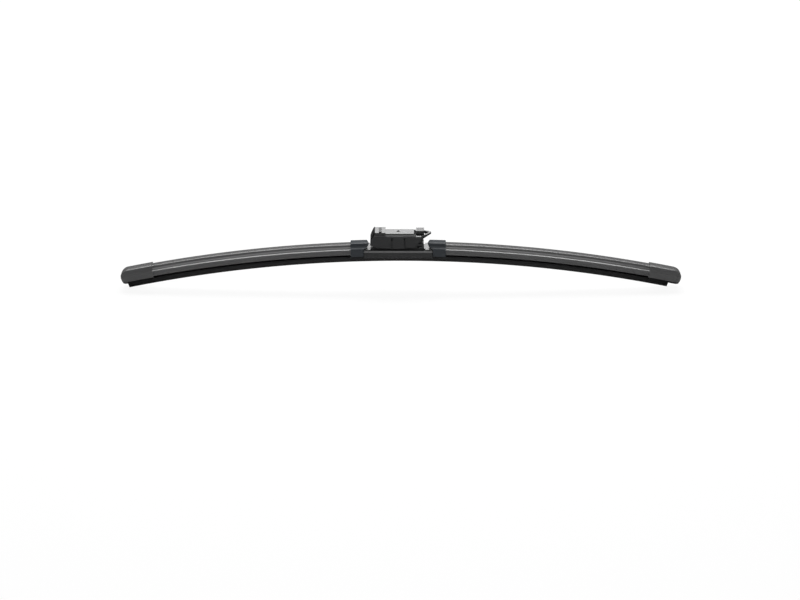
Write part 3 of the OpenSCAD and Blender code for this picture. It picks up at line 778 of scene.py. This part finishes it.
@dataclass
class EndCaps:
    """The two end caps, whose closed outer ends are rounded both ways."""

    left_reach: float = 271.5
    right_reach: float = 276.7
    length: float = 32.1
    grow: float = 1.1
    side_r: float = 8.6
    plan_r: float = 6.0
    foot_lean: float = 1.4
    rim: float = 0.3
    foot_within: float = 0.35
    foot_drop: float = 2.1
    shorter: float = 3.0
    above_crease: float = 0.1
    corner_rings: int = 15
    wall_rings: int = 14
    wall_start: float = 1.5
    rubber_play: float = 0.3
    step: float = 0.05
    lean_fade: float = 5.0
    edge_angle: float = 50.0
    finish: Finish = CAP_BLACK
    foot_shade_finish: Finish = PAINTED_SHADE_BLACK

    def cap(self, name: str, side: Side, within: float, drop: float) -> bpy.types.Mesh:
        """Carries the cap's section to the end, where it is drawn in.

        At a distance s from the end, the depth is scaled by the share of the half width that a corner of
        radius plan_r leaves there, and what lies above the level of the roundest point by the share that a
        corner of radius side_r leaves. Below that level the end leans inwards, and the lean fades with the
        distance. The channel for the rubber is pressed flat past the rubber's end, within one small step.

        Args:
            name: Name of the mesh.
            side: The end to build.
            within: How far the cap lies inside the outer one.
            drop: How much lower its foot lies.

        Returns:
            The mesh.
        """
        reach = (self.left_reach if side is Side.LEFT else self.right_reach) - within
        length, grow = self.length - self.shorter * within, self.grow - within
        side_r, plan_r = self.side_r - within, self.plan_r - within
        section = SECTION.cover(SECTION.cap_outline(grow, drop), SECTION.mouth)
        half = SECTION.width / 2 + grow
        low = section[:, 1].min()
        level = SECTION.crown_point(-SECTION.cap_crease, grow)[1] + self.above_crease - side_r

        near = side_r * (1 - np.cos(np.linspace(0, math.pi / 2, self.corner_rings)))
        stop = reach - RUBBER_REACH[side] - self.rubber_play
        rim_at, rim = rounded_rim(section, self.rim)
        far = np.linspace(side_r + self.wall_start, length - self.rim, self.wall_rings)
        from_end = np.unique(np.concatenate([near, far, [stop - self.step, stop + self.step]]))[:-1]
        outlines = np.concatenate([np.broadcast_to(section, (len(from_end), *section.shape)), rim])
        depth, height = outlines[..., 0], outlines[..., 1]
        from_end = np.concatenate([from_end, length - rim_at])[:, None]
        in_plan = np.clip(plan_r - from_end, 0, None)
        plan = (half - plan_r + np.sqrt(plan_r**2 - in_plan**2)) / half
        in_side = np.clip(side_r - from_end, 0, None)
        top = np.sqrt(side_r**2 - in_side**2) / side_r

        play = self.rubber_play
        inside = (np.abs(depth) < SECTION.mouth + play) & (height < SECTION.slot_low + play)
        flat = np.where(inside & (from_end < stop), low, height)
        up = np.where(flat > level, level + (flat - level) * top, flat)
        lean = self.foot_lean * np.clip((level - up) / level, 0, 1) * np.exp(-from_end / self.lean_fade)
        chord = side.value * (reach - from_end - lean)
        rings = CURVE.place(chord, depth * plan, up)
        return swept_mesh(name, rings, (reach - from_end[:, 0]) * MM)

    def dress(self, palette: Palette) -> None:
        """Adds both caps and their feet, whose near-black finish is painted shade under the caps, to the scene.

        Args:
            palette: Builds the finishes.
        """
        for side in Side:
            node = f"end_cap_{side.name.lower()}"
            # The foot is a smaller shell that reaches lower; its near-black finish is painted shade under the cap's
            # rim.
            for part, within, drop, finish, replaced in (
                    ("shell", 0.0, 0.0, self.finish, (node,)),
                    ("foot", self.foot_within, self.foot_drop, self.foot_shade_finish, ())):
                mesh = self.cap(f"{node}_{part}", side, within, drop)
                Piece(mesh.name, mesh, Body.BLADE, Slot.PLASTIC, palette(finish), replaced, self.edge_angle).put()


@dataclass
class CoverSleeves:
    """The two sleeves that cover the joints between the connector base and the spoiler."""

    outer: float = 46.2
    tip: float = 28.2
    rear: float = 30.8
    base_half: float = 33.4
    base_level: float = 15.9
    base_gap: float = 0.2
    grow: float = 1.6
    tip_fore: float = 4.3
    rim: float = 0.3
    undercut: float = 0.75
    mouth_room: float = 1.4
    ring_count: int = 8
    edge_angle: float = 40.0
    finish: Finish = SLEEVE_BLACK

    def inner_end(self, depth: Array) -> Array:
        """Gives the distance from the pivot at which a sleeve ends: a blunt arrow in plan.

        Args:
            depth: Depths across the blade.

        Returns:
            The distance at each depth.
        """
        half = SECTION.width / 2 + self.grow
        depths = [-half - 1, -half, -self.tip_fore, half + 1]
        return np.interp(depth, depths, [self.base_half, self.base_half, self.tip, self.rear])

    def sleeve(self, side: Side) -> bpy.types.Mesh:
        """Carries the cover's section from the outer rim to the pointed inner end.

        Every point of the section runs straight to its own place on the arrow. From there the next ring goes
        down to the level of the base and back under the beak, by half of the way to the end of the base, and
        the last ring lies at that end.

        Args:
            side: The sleeve to build.

        Returns:
            The mesh.
        """
        section = SECTION.cover(SECTION.outline(self.grow), SECTION.mouth + self.mouth_room)
        rim_at, rim = rounded_rim(section, self.rim)
        above = section[:, 1] > self.base_level
        stop = self.base_half + self.base_gap
        end = np.where(above, self.inner_end(section[:, 0]), stop)
        count = self.ring_count
        share = np.linspace(0, 1, count)[:, None]
        near_rim = self.outer - self.rim
        under = np.where(above, end + self.undercut * (stop - end), stop)
        chord = [self.outer - rim_at[::-1, None] + 0 * end, near_rim + (end - near_rim) * share[1:],
                 under[None], np.full((1, len(end)), stop)]
        low = np.minimum(section[:, 1], self.base_level)
        depth = [rim[::-1, :, 0], np.broadcast_to(section[:, 0], (count + 1, len(end)))]
        height = [rim[::-1, :, 1], np.broadcast_to(section[:, 1], (count - 1, len(end))), low[None],
                  low[None]]
        along = side.value * np.concatenate(chord)
        rings = CURVE.place(along, np.concatenate(depth), np.concatenate(height))
        return swept_mesh(f"cover_sleeve_{side.name.lower()}_shell", rings, along.mean(axis=1) * MM)

    def dress(self, palette: Palette) -> None:
        """Adds both sleeves to the scene.

        Args:
            palette: Builds the finishes.
        """
        for side in Side:
            node = f"cover_sleeve_{side.name.lower()}"
            mesh = self.sleeve(side)
            Piece(mesh.name, mesh, Body.BLADE, Slot.SLEEVE, palette(self.finish), (node,), self.edge_angle).put()


@dataclass(frozen=True)
class EasedMoulding:
    """A moulding of the connector: its solid with eased edges."""

    node: str
    body: Body
    ease: float
    finish: Finish = MOULDED_BLACK
    segments: int = 2
    from_angle: float = 28.0
    shaded_as_one: float = 50.0

    def mesh(self) -> bpy.types.Mesh:
        """Copies the node's mesh, merges its loose triangles, joins those in one plane and eases the edges.

        Returns:
            The eased copy.
        """
        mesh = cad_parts[self.node].data.copy()
        mesh.name = f"{self.node}_eased"
        work = bmesh.new()
        work.from_mesh(mesh)
        bmesh.ops.remove_doubles(work, verts=work.verts, dist=MERGE_DISTANCE)
        bmesh.ops.dissolve_limit(work, angle_limit=math.radians(FLAT_ANGLE), verts=work.verts, edges=work.edges)
        sharp = [edge for edge in work.edges if edge.calc_face_angle(0) > math.radians(self.from_angle)]
        bmesh.ops.bevel(work, geom=sharp, offset=self.ease * MM, offset_type="OFFSET", segments=self.segments,
                        profile=0.5, affect="EDGES", clamp_overlap=True)
        work.to_mesh(mesh)
        work.free()
        return mesh

    def put(self, palette: Palette) -> None:
        """Adds the moulding to the scene."""
        Piece(f"{self.node}_eased", self.mesh(), self.body, Slot.PLASTIC, palette(self.finish), (self.node,),
              self.shaded_as_one, eased=True).put()


@dataclass
class Connector:
    """The base, the adapter and the latch button, with the edges that moulding leaves."""

    mouldings: tuple[EasedMoulding, ...] = (
        EasedMoulding("connector_base", Body.BLADE, 0.18),
        EasedMoulding("adapter", Body.ADAPTER, 0.16),
        EasedMoulding("latch_button", Body.LATCH, 0.12))

    def dress(self, palette: Palette) -> None:
        """Adds the three mouldings to the scene.

        Args:
            palette: Builds the finishes.
        """
        for moulding in self.mouldings:
            moulding.put(palette)


# ---- the steel parts, which keep their solids


@dataclass
class SteelParts:
    """The nodes whose solids are shown as they are."""

    nodes: tuple[str, ...] = ("spring_rail_front", "spring_rail_rear", "rail_saddle", "pivot_pin")
    finish: Finish = ROLLED_STEEL

    def dress(self, palette: Palette) -> None:
        """Puts the finish into the nodes' material slots.

        Args:
            palette: Builds the finishes.
        """
        for name in self.nodes:
            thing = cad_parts[name]
            if not thing.material_slots:
                thing.data.materials.append(palette(self.finish))
            for place in thing.material_slots:
                place.material = palette(self.finish)
            LOG.info("%s: %s", name, self.finish.name)


# ---- the small forms on the adapter


@dataclass
class SeatMark:
    """The small triangle pressed into the adapter's seat, drawn as a near-black plate whose dark tone is painted
    shade of the recess.
    """

    half: float = 1.8
    rear: float = 3.4
    front: float = -1.0
    proud: float = 0.02
    sunk: float = 0.05
    finish: Finish = PAINTED_SHADE_MARK

    def dress(self, palette: Palette) -> None:
        """Adds the triangle, which starts a little below the seat.

        Args:
            palette: Builds the finishes.
        """
        corners = [(-self.half, self.front), (self.half, self.front), (0.0, self.rear)]
        mesh = prism("seat_mark", corners, -self.sunk, self.proud, 2)
        Piece(mesh.name, mesh, Body.ADAPTER, Slot.PLASTIC, palette(self.finish)).put()


@dataclass
class AdapterTrim:
    """What the photograph shows on the adapter beside its solid.

    These are a thin near-black plate in the slot beside the latch button, which is painted shade of the opening,
    the rail that closes the slot at the rear, the sloping shoulders below the seat at front and rear, a rougher plate
    on the floor of the groove between the pads whose slightly darker tone is painted shade, and a skin round the
    tail's end, which widens the tail's outline and whose near-black colour is painted shade.
    """

    slot: tuple[float, float] = (15.3, 17.3)
    slot_half: float = 4.6
    seat_half: float = 5.8
    shoulder_left: float = -24.0
    groove: tuple[float, float] = (-19.08, -16.32)
    groove_level: tuple[float, float] = (1.95, 2.04)
    groove_margin: float = 0.1
    floor_low: float = -1.95
    floor_t: float = 0.07
    rail_top: float = -1.0
    shoulder: tuple[tuple[float, float], ...] = (
        (5.74, -0.6), (5.9, -0.66), (7.5, -2.5), (7.55, -2.62), (5.74, -2.62))
    tail_middle: tuple[float, float] = (8.95, -17.2)
    tail_r: float = 36.9
    tail_half: float = 7.1
    tail_span: tuple[float, float] = (9.7, 30.6)
    skin: float = 0.9
    skin_sunk: float = 0.4
    skin_levels: tuple[float, float, float] = (-11.0, -9.5, -7.0)
    skin_shares: tuple[float, float, float] = (0.02, 0.3, 1.0)
    finish: Finish = MOULDED_BLACK
    skin_shade_finish: Finish = PAINTED_SHADE_BLACK
    groove_shade_finish: Finish = GROOVE_PAINTED_SHADE
    # near black: painted shade in the slot beside the button
    dark: Finish = PAINTED_SHADE_MARK

    def tail_shade_skin(self) -> Array:
        """Gives the outline of the skin round the tail's end, seen from the side.

        The outer arc has the tail's radius plus the skin, which thins to nothing towards the foot so that the
        blade can rock below it. The inner arc lies in the tail's wall.

        Returns:
            Points in millimetres.
        """
        x, z = self.tail_middle
        turn = np.radians(np.linspace(*self.tail_span, 24))
        height = z + self.tail_r * np.sin(turn)
        outer = self.tail_r + self.skin * np.interp(height, self.skin_levels, self.skin_shares)
        inner = np.full_like(outer, self.tail_r - self.skin_sunk)
        reach, turn = np.concatenate([outer, inner[::-1]]), np.concatenate([turn, turn[::-1]])
        return np.stack([x - reach * np.cos(turn), z + reach * np.sin(turn)], axis=-1)

    @staticmethod
    def box(left: float, right: float, low: float, high: float) -> list[tuple[float, float]]:
        """Gives the corners of a rectangle."""
        return [(left, low), (right, low), (right, high), (left, high)]

    def dress(self, palette: Palette) -> None:
        """Adds the slot's plate of painted shade, the rail, both shoulders, the groove's plate and the tail's skin,
        both partly painted shade.

        Args:
            palette: Builds the finishes.
        """
        half, seat, wide = self.slot_half, self.seat_half, self.seat_half - self.groove_margin
        low = self.floor_low
        pieces = [
            # The slot's plate is near black: painted shade of the opening beside the button, in place of a hole.
            (self.dark, prism("button_slot", self.box(-half, half, low, low + self.floor_t), *self.slot, 0)),
            (self.finish, prism("slot_rail", self.box(half, seat, low, self.rail_top), *self.slot, 0))]
        for name, sign in (("front", -1), ("rear", 1)):
            outline = [(sign * y, z) for y, z in self.shoulder]
            pieces.append((self.finish, prism(f"shoulder_{name}", outline, self.shoulder_left, self.slot[1], 0)))
        # The groove's plate is rougher and slightly darker than the moulding; its darker tone is painted shade in the
        # groove.
        groove = self.box(-wide, wide, *self.groove_level)
        # The tail's skin widens its outline and is near black, painted shade round the tail's end.
        pieces += [(self.groove_shade_finish, prism("groove_shade_floor", groove, *self.groove, 0)),
                   (self.skin_shade_finish, prism("tail_shade_skin", self.tail_shade_skin(), -self.tail_half, self.tail_half, 1))]
        for finish, mesh in pieces:
            Piece(mesh.name, mesh, Body.ADAPTER, Slot.PLASTIC, palette(finish)).put()


# ---- light, floor and camera


@dataclass(frozen=True)
class Panel:
    """A soft lamp that faces the object.

    The azimuth and the elevation give the direction it lies in, in degrees, where an azimuth of 90 is behind the
    object. The distance and the size are in metres, and a radiance of 1 is white.
    """

    name: str
    azimuth: float
    elevation: float
    distance: float
    size: tuple[float, float]
    radiance: float

    def hang(self) -> None:
        """Adds the lamp to the scene."""
        data = bpy.data.lights.new(self.name, "AREA")
        data.shape = "RECTANGLE"
        data.size, data.size_y = self.size
        data.energy = WATTS_PER_SQUARE_METRE * self.radiance * self.size[0] * self.size[1]
        thing = bpy.data.objects.new(self.name, data)
        bpy.context.scene.collection.objects.link(thing)
        a, e = math.radians(self.azimuth), math.radians(self.elevation)
        towards = Vector((math.cos(a) * math.cos(e), math.sin(a) * math.cos(e), math.sin(e)))
        thing.location = towards * self.distance
        thing.rotation_mode = "QUATERNION"
        thing.rotation_quaternion = towards.to_track_quat("Z", "Y")


@dataclass
class Studio:
    """A white sweep lit by soft panels, and the photograph's camera."""

    elevation: float = 25.3
    pixels_per_mm: float = 1.018
    image: tuple[int, int] = (800, 600)
    pivot_pixel: tuple[float, float] = (398.25, 231.44)
    distance: float = 3.0
    floor_drop: float = 0.0006
    floor_tone: float = 0.92
    floor_glow: float = 0.9
    floor_half: float = 6.0
    world_level: float = 0.12
    mirrored: float = 0.1
    panels: tuple[Panel, ...] = (
        Panel("rear_panel", 90, 28.5, 1.6, (1.7, 0.66), 3.4),
        Panel("high_panel", 90, 65, 1.6, (1.65, 0.5), 8.5),
        Panel("front_panel", -95, 61, 1.8, (1.8, 0.8), 1.8))

    def camera(self) -> None:
        """Sets the camera so that the pivot falls on its pixel at the photograph's scale."""
        data = bpy.data.cameras.new("camera")
        width = self.image[0] / self.pixels_per_mm * MM
        data.sensor_width = 36.0
        data.lens = data.sensor_width * self.distance / width
        data.clip_end = 20.0
        thing = bpy.data.objects.new("camera", data)
        bpy.context.scene.collection.objects.link(thing)
        lift = math.radians(self.elevation)
        forward = Vector((0, math.cos(lift), -math.sin(lift)))
        up = Vector((0, math.sin(lift), math.cos(lift)))
        right = Vector((1, 0, 0))
        off = [(self.image[0] / 2 - self.pivot_pixel[0]) / self.pixels_per_mm * MM,
               (self.pivot_pixel[1] - self.image[1] / 2) / self.pixels_per_mm * MM]
        target = right * off[0] + up * off[1]
        thing.location = target - forward * self.distance
        thing.rotation_mode = "QUATERNION"
        thing.rotation_quaternion = forward.to_track_quat("-Z", "Y")
        bpy.context.scene.camera = thing

    def world(self) -> None:
        """Makes a plain pale world that is white to the camera."""
        world = bpy.data.worlds.new("studio")
        world.use_nodes = True
        tree = world.node_tree
        back = tree.nodes["Background"]
        back.inputs["Color"].default_value = (1, 1, 1, 1)
        rays = tree.nodes.new("ShaderNodeLightPath").outputs
        seen = maths(tree, "MAXIMUM", rays["Is Camera Ray"], rays["Is Transmission Ray"])
        lit = maths(tree, "MULTIPLY_ADD", rays["Is Glossy Ray"], self.mirrored - self.world_level, self.world_level)
        tree.links.new(maths(tree, "MAXIMUM", seen, lit), back.inputs["Strength"])
        bpy.context.scene.world = world

    def floor(self, low: float) -> None:
        """Lays the floor, which keeps a faint shadow and is white to the camera.

        The camera sees a mix of a white glow and the lit paint. Glossy rays see the paint with part of its
        light taken off, as the rest of the studio is for them.

        Args:
            low: Height of the object's lowest point in metres.
        """
        size, z = self.floor_half, low - self.floor_drop
        mesh = bpy.data.meshes.new("floor")
        mesh.from_pydata([(-size, -size, z), (size, -size, z), (size, size, z), (-size, size, z)], [], [(0, 1, 2, 3)])
        thing = bpy.data.objects.new("floor", mesh)
        bpy.context.scene.collection.objects.link(thing)
        material = bpy.data.materials.new("floor_white")
        material.use_nodes = True
        tree = material.node_tree
        nodes, link = tree.nodes, tree.links.new
        paint = nodes["Principled BSDF"]
        paint.inputs["Base Color"].default_value = (*[self.floor_tone] * 3, 1)
        paint.inputs["Roughness"].default_value = 0.9
        glow = nodes.new("ShaderNodeEmission")
        glow.inputs["Strength"].default_value = 1.0
        rays = nodes.new("ShaderNodeLightPath").outputs
        dark = nodes.new("ShaderNodeBsdfDiffuse")
        dark.inputs["Color"].default_value = (0, 0, 0, 1)
        shader = paint.outputs["BSDF"]
        for ray, amount, other in (("Is Glossy Ray", 1 - self.mirrored, dark.outputs["BSDF"]),
                                   ("Is Camera Ray", self.floor_glow, glow.outputs["Emission"])):
            mix = nodes.new("ShaderNodeMixShader")
            link(maths(tree, "MULTIPLY", rays[ray], amount), mix.inputs["Fac"])
            link(shader, mix.inputs[1])
            link(other, mix.inputs[2])
            shader = mix.outputs["Shader"]
        link(shader, nodes["Material Output"].inputs["Surface"])
        mesh.materials.append(material)
        thing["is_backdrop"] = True

    def build(self, low: float) -> None:
        """Sets up camera, world, floor and panels.

        Args:
            low: Height of the object's lowest point in metres.
        """
        view = bpy.context.scene.view_settings
        view.view_transform = "Standard"
        self.camera()
        self.world()
        self.floor(low)
        for panel in self.panels:
            panel.hang()


def main() -> None:
    """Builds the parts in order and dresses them."""
    logging.basicConfig(level=logging.INFO, format="%(name)s %(message)s")
    before = [list(corner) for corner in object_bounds()]
    palette = Palette()
    for part in (SpoilerPair(), WiperRubber(), EndCaps(), CoverSleeves(), Connector(), SteelParts(),
                 SeatMark(), AdapterTrim()):
        part.dress(palette)
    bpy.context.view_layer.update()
    Studio().build(before[0][2])


if __name__ == "__main__":
    main()
